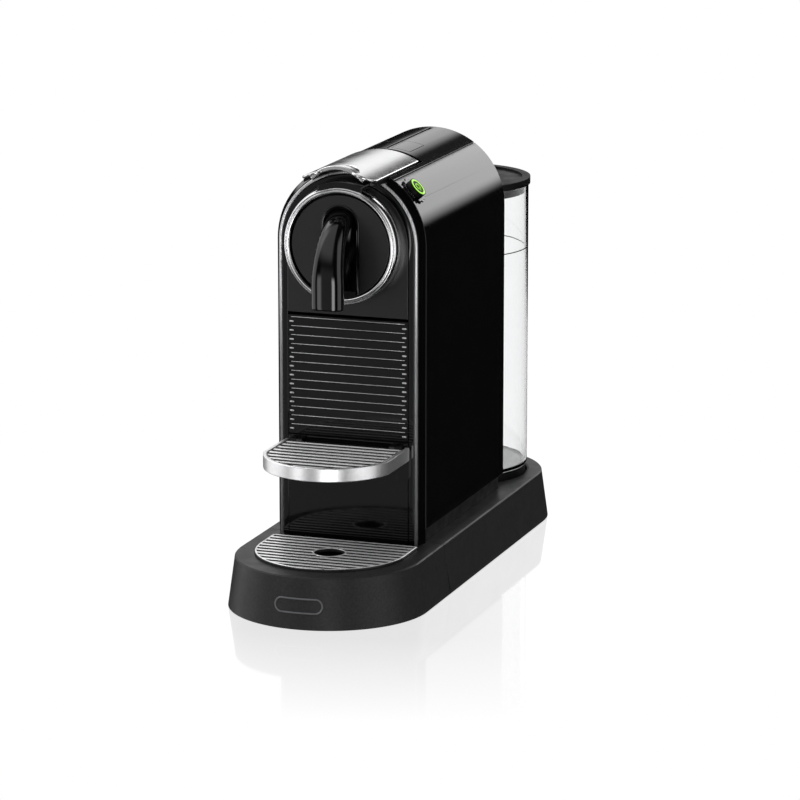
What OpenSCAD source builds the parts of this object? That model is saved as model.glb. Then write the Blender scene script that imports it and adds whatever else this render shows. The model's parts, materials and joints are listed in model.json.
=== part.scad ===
// Pod coffee machine: an arched upright body on a long base with round ends.
// Frame: X to the right, Y to the back, Z up, in millimetres.
// The origin is on the floor, under the middle of the base.

/* [Base] */
// Width of the base at its foot
base_w = 130; // [128:1:134]
// Length of the base, front to back
base_len = 372; // [370:2:378]
// Height of the base's deck above the floor
base_h = 33; // [32:0.5:33.5]
// How far the base's wall leans in between foot and deck
base_draft = 4.5; // [3:0.5:5]
// Thickness of the base's walls and deck
base_wall = 2.5; // [2:0.25:3]
// Where the drip base in front meets the main base
base_seam_y = -78; // [-79:0.5:-77]

/* [Body] */
// Radius of the arched body, which is also half its width
body_r = 50; // [49.5:0.1:50.4]
// Height of the centre of the arch
arch_z = 226.5; // [225:0.5:228]
// Front edge of the side covers
body_front_y = -83; // [-84:0.5:-82.5]
// Rear face of the body
body_back_y = 77; // [75:0.5:77.5]
// Lower edge of the side covers
cover_z = 42.8; // [41:0.2:46]
// Thickness of the side and top covers
cover_t = 2.2; // [1.8:0.1:2.3]
// Angle from the crest to the seam between side and top covers
seam_a = 35; // [34:0.5:38]

/* [Brew head] */
// Outer radius of the bright ring around the brew head
ring_r = 38.3; // [37.5:0.1:38.6]
// Depth of the ring in front of the front plate
ring_depth = 15; // [13:0.2:16]
// Half width of the niche that the spout comes out of
niche_r = 10.8; // [10.2:0.1:11.5]
// Radius of the spout's bend
spout_bend_r = 39; // [38:0.5:40]
// Half width of the spout at its lower end
spout_half_w = 10.5; // [9:0.1:11]
// Lower end of the spout
spout_tip_z = 191; // [188:0.5:194]

/* [Lever] */
// Half width of the lever
lever_half_w = 25; // [24:0.25:25.2]
// Front edge of the lever's straight sides
lever_side_y = -101; // [-103:0.5:-100]
// Height of the crest of the finger lip
lip_z = 279.4; // [278.5:0.1:279.6]
// How far the lever opens
lever_open_a = 85; // [70:1:85]

/* [Water tank] */
// Radius of the water tank
tank_r = 50.2; // [48:0.1:50.4]
// Height of the tank's rim
tank_top_z = 232; // [200:1:240]
// Thickness of the tank's wall
tank_wall = 1.8; // [1.4:0.1:2.4]

/* [Cup support] */
// Half width of the fold-up cup support
support_half_w = 42; // [40.5:0.1:42]
// Radius of the cup support's round front
support_r = 43; // [42.5:0.25:46]
// Height of the cup support's top
support_z = 98; // [96:0.5:102]
// Depth of the cup support's bright band
band_h = 8.7; // [8:0.1:9.2]

/* [Drip grid] */
// Radius of the drip grid's round front
grid_r = 49; // [47:0.25:49.5]
// Height of the grid's top
grid_z = 35; // [34.6:0.1:35.6]
// Distance from one bar of the grid to the next
grid_pitch = 6.5; // [5.5:0.25:8]

/* [Hidden] */
$fn = 96;

eps = 0.01;
big = 400;

// Base
base_r = base_w / 2;
end_y = base_len / 2 - base_r;
base_foot_z = 0.4;
// How much further the base reaches in front than a base of base_len does
front_more = 3.2;
base_chamfer = 0.8;
seam_gap = 0.3;
bottom_z = 1.6;
bottom_t = 2;
foot_spots = [[-46, -62], [46, -62], [-38, 148], [38, 148]];
foot_r = 8;
foot_peg_r = 3;
base_screw_spots = [[-50, -44], [50, -44], [-50, 56], [50, 56]];
gland_z = 14;
gland_r = 7.5;
cord_r = 3.6;

// Tank and its seat in the deck
tank_y = end_y;
tank_flat_y = 80;
tank_foot_z = 29.8;
tank_floor_z = 38;
seat_r = tank_r + 1.4;
seat_floor_z = 29.5;
seat_floor_t = 2;
valve_y = tank_y - 4;
valve_r = 6.9;
valve_bore_r = 4;
lid_rim_h = 4.6;
lid_overhang = 1.2;
lid_lip_w = 5.6;
lid_plug_h = 5.6;

// Body, from the outside in
frame_t = 2;
frame_gap = 0.4;
frame_r = body_r - cover_t - frame_gap;
frame_ri = frame_r - frame_t;
seam_da = 0.3;
frame_z = base_h + 0.2;
floor_t = 2;
bay_back_y = -16;
bulkhead_t = 2;
shelf_z = 180;
shelf_t = 2;
rear_t = 2.6;
rear_screw_spots = [[-38, 60], [38, 60], [-38, 215], [38, 215]];

// Front of the body
bezel_y = 90.2;
trim_ro = body_r - 3.2;
trim_ri = body_r - 5.8;
plate_r = body_r - 9.5;
plate_y = -91;
plate_t = 2.2;
plate_z = 180.5;
leg_z = base_h + 0.8;

// Brew head, whose centre is a little above the arch's
head_z = arch_z + 1;
ring_t = 4.6;
bead_t = 2.2;
shoulder_depth = 6.4;
ring_y = plate_y - ring_depth;
disc_r = ring_r - ring_t - 1.2;
disc_y = ring_y + 2;
disc_t = 2.5;
hood_half_w = 14.5;
hood_ro = 42;
hood_y = -105;
niche_z = head_z + 15.6;
niche_back_y = plate_y - 2.4;
liner_t = 1.2;
spout_y = -127;
spout_bend_z = 208;
spout_top_half_w = 7.6;
spout_r = 6.2;
spout_bore_r = 2.6;

// Lever
lever_ro = body_r + 0.7;
lever_skin_t = 1.5;
lever_ri = lever_ro - 3.6;
lever_back_y = -25.3;
lever_cut = 0.6;
hinge_y = -31;
hinge_z = arch_z + 41.5;
hinge_pin_r = 1.6;
hinge_clear = 0.06;
ear_x = [11.5, 14.8];
knuckle_x = [6, 11];
lever_gap_y = -19.4;
lobe_x = 16;
lobe_y = -103.5;
lobe_r = 9;
notch_r = 12;
lip_r = 25;
lip_t = 2.8;
lip_half_w = 18.6;
lip_y = [-109.5, -104];

// Capsule cage: closed at rest, and it draws back as the lever opens
cage_r = 20.5;
cage_ri = 17;
cage_y = [-82, -54];
guide_z = [250, 256];
cheek_x = [23.5, 26];

// Buttons
power_y = -71.8;
power_a = 48.6;
power_r = 6.5;
power_out = 4.3;
collar_r = 8.3;
switch_h = 38.6;
scallops = 12;
pad_a = [3, 17];
pad_y = [-14, 14];
pad_gap = 0.35;
pad_gap_a = 0.4;
slit_w = 2.4;
slit_y = [-16, 72];

// Drip module
front_half_w = plate_r - 0.2;
front_t = 2.5;
front_y = -90.7;
lower_front_top = 100.5;
rib_top_z = 177.6;
rib_pitch = 5.83;
ribs = 14;
rib_cut = 0.9;
bin_half_w = 38.5;
bin_wall = 2;
bin_z = [37, 172];
bin_back_y = -20;
grid_bar = 3;
grid_rear_y = -96.5;
grid_t = 2.6;
grid_hole = [1, -128];
grid_hole_r = 9.5;

// Cup support
support_y = -122;
support_back_y = -92.2;
pivot_y = -94.4;
bracket_x = [33, 41.6];
bracket_z = [75, 99];
bracket_r = 4;
bracket_t = 0.9;
pivot_z = support_z - 1.5;
pivot_pin_r = 1.2;
knuckle_r = 2.5;
lug_x = [29.6, 33.4];
support_knuckle_x = [33.8, 38.2];
band_t = 2.6;
support_pitch = 7.6;
support_bar = 3.4;

// Inside the rear bay
pump_at = [-20, 40];
boiler_at = [0, 30];
boiler_z = [165, 205];
boiler_r = 24;
meter_at = [25, 52];
meter_r = 11;
board_x = 38;
button_board_z = 261;

// ---- Shapes that several parts share ----

// Extrudes a front view, drawn in X and Z, from y0 to y1
module front_slab(y0, y1)
    translate([0, y1, 0]) rotate([90, 0, 0]) linear_extrude(y1 - y0) children();

// Front view of the arched body, filled, down to height z0
module arch_2d(r, z0) {
    translate([0, arch_z]) circle(r);
    translate([-r, z0]) square([2 * r, arch_z - z0]);
}

// Front view of the wedge between two angles from the crest, positive to the right
module wedge_2d(a0, a1)
    translate([0, arch_z]) polygon([[0, 0], big * [sin(a0), cos(a0)], big * [sin(a1), cos(a1)]]);

// Front view of the curved band between two radii and two angles
module band_2d(ri, ro, a0, a1) intersection() {
    difference() {
        translate([0, arch_z]) circle(ro);
        translate([0, arch_z]) circle(ri);
    }
    wedge_2d(a0, a1);
}

// Runs a profile of [radius, distance in front] up one leg, over the arch and down the other
module arch_sweep(profile, z0) {
    translate([0, 0, arch_z]) rotate([90, 0, 0]) rotate_extrude(angle = 180) polygon(profile);
    for (side = [0, 1]) mirror([side, 0, 0]) translate([0, 0, z0])
        linear_extrude(arch_z - z0) polygon([for (p = profile) [p[0], -p[1]]]);
}

// Puts children where the arch's normal at angle a meets the centre line, Z pointing out
module radial(a, y) translate([0, y, arch_z]) rotate([0, a, 0]) children();

// A cylinder along X between x0 and x1
module rod_x(x0, x1, y, z, r) translate([x0, y, z]) rotate([0, 90, 0]) cylinder(h = x1 - x0, r = r);

// A cylinder along Y between y0 and y1
module rod_y(y0, y1, x, z, r) translate([x, y1, z]) rotate([90, 0, 0]) cylinder(h = y1 - y0, r = r);

// Room for the lever: as wide as it is plus a gap on each side, above z0 and in front of y1
module lever_mouth(gap, y1, z0)
    block([-lever_half_w - gap, -big / 2, z0], [lever_half_w + gap, y1, big]);

// A box given by its two corners
module block(lo, hi) translate(lo) cube(hi - lo);

// Half width of the base at height z
function base_half(z) = base_r - base_draft * z / base_h;

// Half section of the base, moved in by inset, from z0 to z1
function base_profile(inset, z0, z1, chamfer) = [
    [0, z0], [base_half(z0) - inset, z0], [base_half(z1) - inset, z1 - chamfer],
    [base_half(z1) - inset - chamfer, z1], [0, z1]
];

// A solid with the base's leaning wall: a round end and straight sides back to y1
module base_block(front, y1, profile) mirror([0, front ? 1 : 0, 0]) {
    round_y = end_y + (front ? front_more : 0);
    translate([0, round_y, 0]) rotate_extrude(angle = 180) polygon(profile);
    front_slab(y1, round_y) for (side = [0, 1]) mirror([side, 0]) polygon(profile);
}

// Plan of the tank: a circle of radius r with its front cut flat, the whole grown by r - tank_r
module tank_2d(r) intersection() {
    translate([0, tank_y]) circle(r);
    translate([-big / 2, tank_flat_y - r + tank_r]) square(big);
}

// Plan with a round front of radius r at yc and straight sides back to y1
module tongue_2d(r, yc, y1) {
    intersection() {
        translate([0, yc]) circle(r);
        translate([-big / 2, y1 - big]) square(big);
    }
    translate([-r, yc]) square([2 * r, y1 - yc]);
}

// Plan of the cup support, moved in by inset: a round front cut by straight sides, back to y1
module support_2d(inset, y1) intersection() {
    half_w = support_half_w - inset;
    union() {
        translate([0, support_y]) circle(support_r - inset);
        translate([-half_w, support_y]) square([2 * half_w, y1 - support_y]);
    }
    translate([-half_w, y1 - big]) square([2 * half_w, big]);
}

// A pipe of radius r through a list of points, with a square elbow fitting at each bend
module pipe(points, r) for (i = [1 : len(points) - 1]) {
    segment(points[i - 1], points[i], r);
    if (i < len(points) - 1) translate(points[i]) cube(2.8 * r, center = true);
}

// A cylinder of radius r from point a to point b
module segment(a, b, r) {
    d = b - a;
    translate(a) rotate([0, acos(d[2] / norm(d)), atan2(d[1], d[0])]) cylinder(h = norm(d), r = r);
}

// ---- Base ----

module base_shell() color("#1c1c1e") {
    difference() {
        base_block(false, base_seam_y, base_profile(0, base_foot_z, base_h, base_chamfer));
        base_block(false, base_seam_y + base_wall, base_profile(base_wall, -1, base_h - base_wall, 0));
        translate([0, 0, base_foot_z]) linear_extrude(base_h) tank_2d(seat_r + 0.1);
        rod_y(base_len / 2 - 20, base_len / 2 + 5, 0, gland_z, gland_r);
        translate([meter_at[0], meter_at[1], 0]) cylinder(h = base_h + 1, r = 5);
        translate([-30, 60, 0]) cylinder(h = base_h + 1, r = 5);
    }
    for (spot = base_screw_spots) translate([spot[0], spot[1], bottom_z + bottom_t])
        difference() {
            cylinder(h = base_h - base_wall - bottom_z - bottom_t, r = 4);
            translate([0, 0, -1]) cylinder(h = 12, r = 1.5);
        }
}

module bottom_cover() color("#202022") difference() {
    base_block(false, base_seam_y + base_wall + 0.2,
        base_profile(base_wall + 0.4, bottom_z, bottom_z + bottom_t, 0));
    for (spot = foot_spots) translate([spot[0], spot[1], 0]) cylinder(h = 10, r = foot_peg_r);
    for (spot = base_screw_spots) translate([spot[0], spot[1], 0]) {
        cylinder(h = 10, r = 1.7);
        cylinder(h = bottom_z + 1.2, r = 3.4);
    }
    for (i = [-5 : 5]) block([-20, 8 * i - 1.5, 0], [20, 8 * i + 1.5, 10]);
}

module rubber_feet() color("#2a2a2c") for (spot = foot_spots) translate([spot[0], spot[1], 0]) {
    cylinder(h = bottom_z, r1 = foot_r - 0.8, r2 = foot_r);
    cylinder(h = bottom_z + bottom_t + 1.4, r = foot_peg_r);
}

// Four screws hold the bottom cover and four hold the rear panel
module case_screws() color("#a8a8ac") {
    for (spot = base_screw_spots) translate([spot[0], spot[1], bottom_z + 0.1]) {
        cylinder(h = 1.1, r = 3.1);
        cylinder(h = 9, r = 1.5);
    }
    for (spot = rear_screw_spots) {
        rod_y(body_back_y - 1.4, body_back_y - 0.2, spot[0], spot[1], 3);
        rod_y(body_back_y - 12, body_back_y - 1, spot[0], spot[1], 1.4);
    }
}

module cord_gland() color("#1a1a1a") difference() {
    union() {
        rod_y(base_len / 2 - 9, base_len / 2 - 0.6, 0, gland_z, gland_r - 0.1);
        rod_y(base_len / 2 - 9, base_len / 2 - 6.8, 0, gland_z, gland_r + 1.2);
    }
    rod_y(base_len / 2 - 10, base_len / 2, 0, gland_z, cord_r);
}

module tank_seat() color("#161617") {
    difference() {
        translate([0, 0, seat_floor_z - seat_floor_t]) {
            linear_extrude(base_h - 0.3 - seat_floor_z + seat_floor_t) tank_2d(seat_r);
            translate([0, valve_y, -7]) cylinder(h = 8, r = 10.5);
        }
        translate([0, 0, seat_floor_z]) linear_extrude(base_h) tank_2d(seat_r - 1);
        translate([0, valve_y, seat_floor_z - 6]) cylinder(h = 10, r = 8.8);
        translate([0, valve_y, 0]) cylinder(h = seat_floor_z, r = 3);
    }
    // Cross that pushes the tank's valve open, on a stem in the middle of the socket
    translate([0, valve_y, seat_floor_z - 7]) {
        cylinder(h = 7.5, r = 1);
        for (a = [0, 90]) rotate([0, 0, a]) translate([-4, -0.5, 0]) cube([8, 1, 2]);
    }
}

module seat_seal() color("#7a2e22") translate([0, valve_y, seat_floor_z - 4.6])
    rotate_extrude() translate([7.9, 0]) circle(0.88);

// ---- Body ----

module chassis_frame() color("#19191a") difference() {
    union() {
        front_slab(body_front_y + 0.5, body_back_y - rear_t - 0.2) difference() {
            arch_2d(frame_r, frame_z);
            arch_2d(frame_ri, frame_z - 1);
        }
        for (spot = rear_screw_spots) {
            side = sign(spot[0]);
            y1 = body_back_y - rear_t - 0.2;
            rod_y(y1 - 12, y1, spot[0], spot[1], 4);
            if (side > 0) block([spot[0], y1 - 12, spot[1] - 2], [frame_ri + 0.5, y1, spot[1] + 2]);
            else block([-frame_ri - 0.5, y1 - 12, spot[1] - 2], [spot[0], y1, spot[1] + 2]);
        }
    }
    // Mouth under the lever
    lever_mouth(lever_cut + 0.6, lever_gap_y + 2.5, arch_z + 20);
    // Windows for the coffee buttons and the power button
    block([-16, pad_y[0] - 1, arch_z + 20], [16, pad_y[1] + 1, arch_z + body_r]);
    radial(power_a, power_y) cylinder(h = body_r, r = collar_r + 0.2);
    for (spot = rear_screw_spots) rod_y(body_back_y - 14, body_back_y, spot[0], spot[1], 1.45);
}

module chassis_floor() color("#222224") difference() {
    block([-frame_ri + 0.1, body_front_y + 0.5, frame_z],
        [frame_ri - 0.1, body_back_y - rear_t - 0.3, frame_z + floor_t]);
    translate([meter_at[0], meter_at[1], 0]) cylinder(h = base_h + 5, r = 5);
    translate([-30, 60, 0]) cylinder(h = base_h + 5, r = 5);
}

module bulkhead() color("#222224") difference() {
    front_slab(bay_back_y, bay_back_y + bulkhead_t) intersection() {
        arch_2d(frame_ri - 0.2, frame_z + floor_t + 0.1);
        translate([-big / 2, 0]) square([big, arch_z + 37]);
    }
    rod_y(bay_back_y - 1, bay_back_y + 5, 0, arch_z, 5);
    for (x = [-26, 26]) rod_y(bay_back_y - 1, bay_back_y + 5, x, 200, 4);
}

module bay_shelf() color("#222224") difference() {
    block([-frame_ri + 0.1, body_front_y + 0.5, shelf_z],
        [frame_ri - 0.1, bay_back_y - 0.1, shelf_z + shelf_t]);
    block([-20, cage_y[0] + 1, 0], [20, cage_y[1] + 4, big]);
}

module side_cover(right) mirror([right ? 0 : 1, 0, 0])
    front_slab(body_front_y, body_back_y) difference() {
        intersection() {
            arch_2d(body_r, cover_z);
            union() {
                wedge_2d(seam_a + seam_da, 91);
                translate([0, cover_z]) square([body_r, arch_z - cover_z]);
            }
        }
        arch_2d(body_r - cover_t, cover_z - 1);
    }

module side_cover_left() color("#0a0a0b") side_cover(false);

module side_cover_right() color("#0a0a0b") difference() {
    side_cover(true);
    radial(power_a, power_y) cylinder(h = body_r + 5, r = collar_r + 0.1);
}

module top_cover() color("#0a0a0b") difference() {
    front_slab(body_front_y, body_back_y)
        band_2d(body_r - cover_t, body_r, -seam_a + seam_da, seam_a - seam_da);
    lever_mouth(lever_cut, lever_gap_y, arch_z);
    for (side = [0, 1]) mirror([side, 0, 0])
        front_slab(pad_y[0] - pad_gap, pad_y[1] + pad_gap)
            wedge_2d(pad_a[0] - pad_gap_a, pad_a[1] + pad_gap_a);
    block([-slit_w / 2, slit_y[0], arch_z + body_r - 1.2], [slit_w / 2, slit_y[1], arch_z + body_r + 1]);
}

module rear_panel() color("#161617") difference() {
    front_slab(body_back_y - rear_t, body_back_y) arch_2d(body_r - cover_t - 0.2, cover_z);
    for (i = [0 : 8]) block([-22, body_back_y - 5, 236 - 6 * i], [22, body_back_y + 1, 238.4 - 6 * i]);
    for (spot = rear_screw_spots) {
        rod_y(body_back_y - 1.5, body_back_y + 1, spot[0], spot[1], 3.2);
        rod_y(body_back_y - 5, body_back_y, spot[0], spot[1], 1.6);
    }
}

module front_bezel() color("#08080a") difference() {
    arch_sweep([
        [body_r - cover_t, -body_front_y + 0.2], [body_r, -body_front_y + 0.2],
        [trim_ro + 0.1, bezel_y - 0.3], [trim_ro + 0.1, bezel_y - 1.6],
        [trim_ri - 0.1, bezel_y - 1.6], [trim_ri - 0.1, bezel_y],
        [plate_r + 0.2, bezel_y], [plate_r + 0.2, bezel_y - 3.8],
        [body_r - cover_t, bezel_y - 3.8]
    ], leg_z);
    // Clear of the lever, which passes over the crest
    difference() {
        lever_mouth(lever_cut, body_front_y + 1, arch_z);
        rod_y(-bezel_y - 30, body_front_y + 2, 0, arch_z, trim_ro + 0.1);
    }
}

module front_trim() color("#b4b4b8") arch_sweep([
    [trim_ri, bezel_y - 1.6], [trim_ro, bezel_y - 1.6], [trim_ro, bezel_y - 0.1],
    [trim_ro - 0.5, bezel_y + 0.3], [trim_ri + 0.5, bezel_y + 0.3], [trim_ri, bezel_y - 0.1]
], leg_z);

module front_plate() color("#1b1b1d") front_slab(plate_y, plate_y + plate_t) difference() {
    arch_2d(plate_r, plate_z);
    translate([0, head_z]) circle(disc_r - 3);
}

// ---- Brew head ----

// Block over the ring, under the lever's lip
module head_hood() color("#08080a") difference() {
    front_slab(hood_y, plate_y) intersection() {
        translate([0, arch_z]) circle(hood_ro);
        translate([-hood_half_w, arch_z]) square([2 * hood_half_w, body_r]);
    }
    ring_turned(0.2, 0);
}

// The ring's outline turned about its axis, grown outwards by g, around a hole of radius ri
module ring_turned(g, ri) translate([0, plate_y - 0.1, head_z]) rotate([90, 0, 0]) rotate_extrude() polygon([
    [ri, -g], [ring_r + g, -g], [ring_r + g, ring_depth - shoulder_depth],
    [ring_r - ring_t + bead_t + g, ring_depth - 0.6 + g], [ring_r - ring_t + bead_t, ring_depth - 0.1 + g],
    [ri, ring_depth - 0.1 + g]
]);

module head_ring() color("#e0e0e4") ring_turned(0, ring_r - ring_t);

// Front view of the niche, grown by g
module niche_2d(g) {
    translate([0, niche_z]) circle(niche_r + g);
    translate([-niche_r - g, head_z - ring_r]) square([2 * (niche_r + g), niche_z - head_z + ring_r]);
}

// A shallow cup that stands on the front plate inside the ring, with the niche let into it
module head_disc() color("#202022") difference() {
    union() {
        difference() {
            rod_y(disc_y, plate_y - 0.1, 0, head_z, disc_r);
            rod_y(disc_y + disc_t, plate_y, 0, head_z, disc_r - 2);
        }
        front_slab(disc_y, niche_back_y + liner_t) intersection() {
            niche_2d(liner_t);
            translate([0, head_z]) circle(disc_r);
        }
    }
    front_slab(disc_y - 1, niche_back_y) niche_2d(0);
}

// A bent beak that leaves the niche's back wall and ends upright over the cup, with a round bore
module spout() color("#0b0b0c") difference() {
    intersection() {
        spout_run(0) stadium_2d(spout_half_w, spout_r);
        front_slab(-big, niche_back_y) spout_front_2d();
    }
    spout_run(1) circle(spout_bore_r);
}

// Runs a plan view up the spout's path: straight first, then round its bend; it starts low by extra
module spout_run(extra) {
    translate([0, spout_y, spout_tip_z - extra]) linear_extrude(spout_bend_z - spout_tip_z + extra) children();
    translate([0, spout_y + spout_bend_r, spout_bend_z]) rotate([90, 0, -90])
        rotate_extrude(angle = 90) translate([spout_bend_r, 0]) rotate([0, 0, 90]) children();
}

// A circle of radius r drawn out along X to the given half width
module stadium_2d(half_w, r) {
    for (side = [-1, 1]) translate([side * (half_w - r), 0]) circle(r);
    translate([r - half_w, -r]) square([2 * (half_w - r), 2 * r]);
}

// Front view of the spout: it narrows above its straight part and keeps clear of the niche's round top
module spout_front_2d() intersection() {
    polygon([
        [-spout_half_w, spout_tip_z], [spout_half_w, spout_tip_z], [spout_half_w, spout_bend_z],
        [spout_top_half_w, niche_z + niche_r], [-spout_top_half_w, niche_z + niche_r],
        [-spout_half_w, spout_bend_z]
    ]);
    union() {
        translate([0, niche_z]) circle(niche_r - 0.4);
        translate([-big / 2, 0]) square([big, niche_z]);
    }
}

module brew_frame() color("#2c2c2f") difference() {
    union() {
        for (side = [0, 1]) mirror([side, 0, 0]) {
            block([cheek_x[0], -82, 197], [cheek_x[1], bay_back_y - 0.1, 258]);
            block([ear_x[0], hinge_y - 3, 258], [ear_x[1], hinge_y + 3, hinge_z]);
            rod_x(ear_x[0], ear_x[1], hinge_y, hinge_z, 3);
        }
        block([-cheek_x[1], hinge_y - 6, 254], [cheek_x[1], bay_back_y - 0.1, 258]);
    }
    rod_x(-20, 20, hinge_y, hinge_z, hinge_pin_r + 0.01);
    // Slots that the cage's lugs run in
    block([-40, -72, arch_z - 4], [40, -30, arch_z + 4]);
}

module piercing_plate() color("#c8c8cc") difference() {
    rod_y(-88.2, -85.2, 0, arch_z, 18);
    for (i = [-3 : 3], j = [-3 : 3])
        if (norm([i, j]) < 3.3) rod_y(-89, -85, 4.4 * i, arch_z + 4.4 * j, 0.7);
}

module capsule_guide() color("#2c2c2f") difference() {
    block([-23.3, -82.3, guide_z[0]], [23.3, -46, guide_z[1]]);
    block([-19.5, -81, 0], [19.5, -48, big]);
}

module lever_pin() color("#c8c8cc") rod_x(-ear_x[1], ear_x[1], hinge_y, hinge_z, hinge_pin_r);

// ---- Rear bay ----

module pump() color("#b8b4a8") translate([pump_at[0], pump_at[1], 0]) {
    translate([0, 0, 50]) cylinder(h = 62, r = 14);
    translate([-17, -17, 58]) cube([34, 34, 44]);
    translate([0, 0, 112]) cylinder(h = 16, r = 10);
    translate([0, 0, 128]) cylinder(h = 10, r = 4);
}

module pump_mounts() color("#3a3a3c") translate([pump_at[0], pump_at[1], 0]) {
    translate([0, 0, frame_z + floor_t]) cylinder(h = 50 - frame_z - floor_t, r = 15);
    translate([0, 0, 116]) difference() {
        union() {
            cylinder(h = 8, r = 13);
            cylinder(h = 2, r = 15);
            translate([0, 0, 6]) cylinder(h = 2, r = 15);
        }
        translate([0, 0, -1]) cylinder(h = 10, r = 10);
    }
}

module pump_bracket() color("#a4a6aa") difference() {
    union() {
        block([-42, bay_back_y + bulkhead_t, 118], [4, 62, 122]);
        block([-42, bay_back_y + bulkhead_t, 118], [4, bay_back_y + bulkhead_t + 2, 136]);
    }
    translate([pump_at[0], pump_at[1], 100]) cylinder(h = 30, r = 13);
}

module thermoblock() color("#c4c6ca") difference() {
    translate([boiler_at[0], boiler_at[1], boiler_z[0]]) {
        cylinder(h = boiler_z[1] - boiler_z[0], r = boiler_r);
        for (a = [45 : 90 : 315]) rotate([0, 0, a]) translate([boiler_r - 1, 0, 0]) cylinder(h = 6, r = 5);
        translate([0, 0, boiler_z[1] - boiler_z[0]]) cylinder(h = 4, r = 6);
    }
    for (i = [0 : 3]) translate([boiler_at[0], boiler_at[1], boiler_z[0] + 9 + 8 * i]) difference() {
        cylinder(h = 3, r = boiler_r + 1);
        cylinder(h = 3, r = boiler_r - 3);
    }
}

module boiler_bracket() color("#a4a6aa") {
    block([-30, bay_back_y + bulkhead_t, boiler_z[0] - 3], [30, 58, boiler_z[0]]);
    block([-30, bay_back_y + bulkhead_t, boiler_z[0] - 22], [30, bay_back_y + bulkhead_t + 2, boiler_z[0] - 3]);
}

module flow_meter() color("#e8e8e4") translate([meter_at[0], meter_at[1], frame_z + floor_t]) {
    cylinder(h = 26, r = meter_r);
    translate([0, 0, 26]) cylinder(h = 3, r = meter_r - 3);
}

// From the tank's socket under the deck to the flow meter, and from there to the pump
module water_hoses() color("#d8d8d4") {
    pipe([
        [0, valve_y, seat_floor_z - 9], [0, valve_y, 12], [0, meter_at[1], 12],
        [meter_at[0], meter_at[1], 12], [meter_at[0], meter_at[1], frame_z + floor_t]
    ], 3);
    rod_x(pump_at[0] + 15, meter_at[0] - meter_r, 50, 44, 3);
}

// From the pump to the heater, and from the heater to the brew head
module pressure_pipe() color("#e6dcc8") {
    pipe([
        [pump_at[0], pump_at[1], 138], [pump_at[0], pump_at[1], 148], [-36, pump_at[1], 148],
        [-36, pump_at[1], 188], [-36, boiler_at[1], 188], [boiler_at[0] - boiler_r - 0.1, boiler_at[1], 188]
    ], 2);
    pipe([
        [0, boiler_at[1], boiler_z[1] + 4], [0, boiler_at[1], arch_z], [0, bay_back_y - 1, arch_z]
    ], 2);
}

module circuit_board() color("#1f5a34") {
    block([board_x - 1.6, 2, 84], [board_x, 66, 160]);
    block([board_x - 18, 8, 92], [board_x - 1.6, 30, 112]);
    block([board_x - 12, 38, 92], [board_x - 1.6, 58, 104]);
    for (i = [0 : 2]) rod_x(board_x - 14, board_x - 1.6, 14 + 18 * i, 128, 6);
    block([board_x - 8, 10, 144], [board_x - 1.6, 58, 152]);
}

module board_standoffs() color("#b08a3a")
    for (y = [7, 61], z = [88, 156]) rod_x(board_x, frame_ri, y, z, 2.6);

// A small board under the coffee buttons, with a tactile switch for each
module button_board() color("#1f5a34") {
    block([-17, -12, button_board_z], [17, 12, button_board_z + 1.6]);
    for (x = [-6.8, 6.8]) {
        block([x - 3, -3, button_board_z + 1.6], [x + 3, 3, button_board_z + 4]);
        translate([x, 0, button_board_z + 4]) cylinder(h = 0.8, r = 1.6);
    }
    for (x = [-15, 15]) block([x - 1.5, -4, button_board_z - 6], [x + 1.5, 4, button_board_z]);
}

// ---- Buttons ----

module power_collar() color("#0c0c0d") difference() {
    radial(power_a, power_y) {
        translate([0, 0, frame_ri - 1]) cylinder(h = body_r - frame_ri + 2, r = collar_r);
        for (i = [0 : scallops - 1]) rotate([0, 0, 360 * i / scallops])
            translate([collar_r - 0.2, 0, body_r - 1]) cylinder(h = 2, r = 1.3);
    }
    radial(power_a, power_y) {
        translate([0, 0, 10]) cylinder(h = body_r, r = power_r + 0.15);
        difference() {
            translate([0, 0, body_r - 5]) cylinder(h = 5, r = collar_r + 5);
            translate([0, 0, body_r - 6]) cylinder(h = 7, r = collar_r);
        }
    }
    difference() {
        rod_y(power_y - 20, power_y + 20, 0, arch_z, body_r + 0.02);
        radial(power_a, power_y) cylinder(h = body_r + 5, r = collar_r);
    }
}

module power_button() color("#111112") radial(power_a, power_y) {
    difference() {
        translate([0, 0, frame_ri + 0.5]) cylinder(h = body_r + power_out - frame_ri - 0.5, r = power_r);
        translate([0, 0, body_r + power_out - 0.6]) difference() {
            cylinder(h = 2, r = power_r - 0.5);
            translate([0, 0, -1]) cylinder(h = 4, r = power_r - 1.9);
        }
    }
    translate([0, 0, switch_h + 4.8]) cylinder(h = 4, r = 2);
}

module power_light_ring() color("#8fd820") radial(power_a, power_y)
    translate([0, 0, body_r + power_out - 0.6]) difference() {
        cylinder(h = 0.75, r = power_r - 0.5);
        translate([0, 0, -1]) cylinder(h = 4, r = power_r - 1.9);
    }

module power_switch() color("#303034") radial(power_a, power_y) {
    translate([-3.4, -6, switch_h]) cube([11.4, 12, 1.5]);
    translate([0, 0, switch_h + 1]) cylinder(h = 1.8, r = 3.2);
    translate([0, 0, switch_h + 2.5]) cylinder(h = 0.8, r = 1.2);
    for (side = [-1, 1]) translate([6.4, 4.2 * side, switch_h + 1]) cylinder(h = 3.8, r = 1.2);
}

// A curved pad flush with the top cover, on a stem over its switch
module coffee_button(right) mirror([right ? 0 : 1, 0, 0]) {
    front_slab(pad_y[0], pad_y[1]) band_2d(body_r - cover_t, body_r, pad_a[0], pad_a[1]);
    radial((pad_a[0] + pad_a[1]) / 2, 0) translate([0, 0, 41.2]) cylinder(h = body_r - cover_t - 40.6, r = 1.8);
}

module espresso_button() color("#0d0d0e") coffee_button(true);

module lungo_button() color("#0d0d0e") coffee_button(false);

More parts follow.
